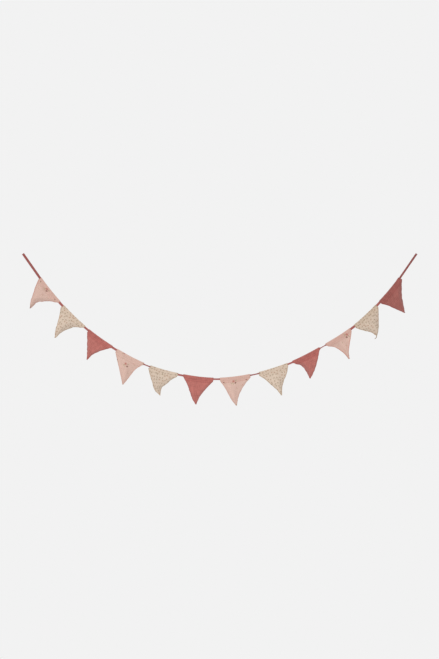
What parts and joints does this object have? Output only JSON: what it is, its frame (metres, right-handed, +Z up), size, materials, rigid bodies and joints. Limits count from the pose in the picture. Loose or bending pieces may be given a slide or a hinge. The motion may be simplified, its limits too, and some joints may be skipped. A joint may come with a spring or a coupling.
{
  "type": "fabric bunting",
  "caption": "Hanging string of triangular muslin flags in pink, sand and rose, folded over one cotton tape with free ends.",
  "frame": {"origin": "midway between the two points where the tape's ends are held, at their height, on the middle of the tape's thickness", "axes": "+X to the right along the span as seen from the front, +Y to the back, +Z up"},
  "size_m": [2.436, 0.0975, 0.9397],
  "materials": {
    "pink_muslin": "pale pink cotton double gauze with sparse small printed posies, matt and lightly puckered",
    "sand_muslin": "sand cotton double gauze with small scattered printed sprigs, matt and lightly puckered",
    "rose_muslin": "plain dusty rose cotton double gauze, matt and lightly puckered",
    "tape_cotton": "dusty rose woven cotton tape, matt"
  },
  "bodies": {
    "root": {"tape": "tape_cotton", "flag_01": "pink_muslin", "flag_02": "sand_muslin", "flag_03": "rose_muslin", "flag_04": "pink_muslin", "flag_05": "sand_muslin", "flag_06": "rose_muslin", "flag_07": "pink_muslin", "flag_08": "sand_muslin", "flag_09": "rose_muslin", "flag_10": "pink_muslin", "flag_11": "sand_muslin", "flag_12": "rose_muslin"}
  },
  "joints": []
}
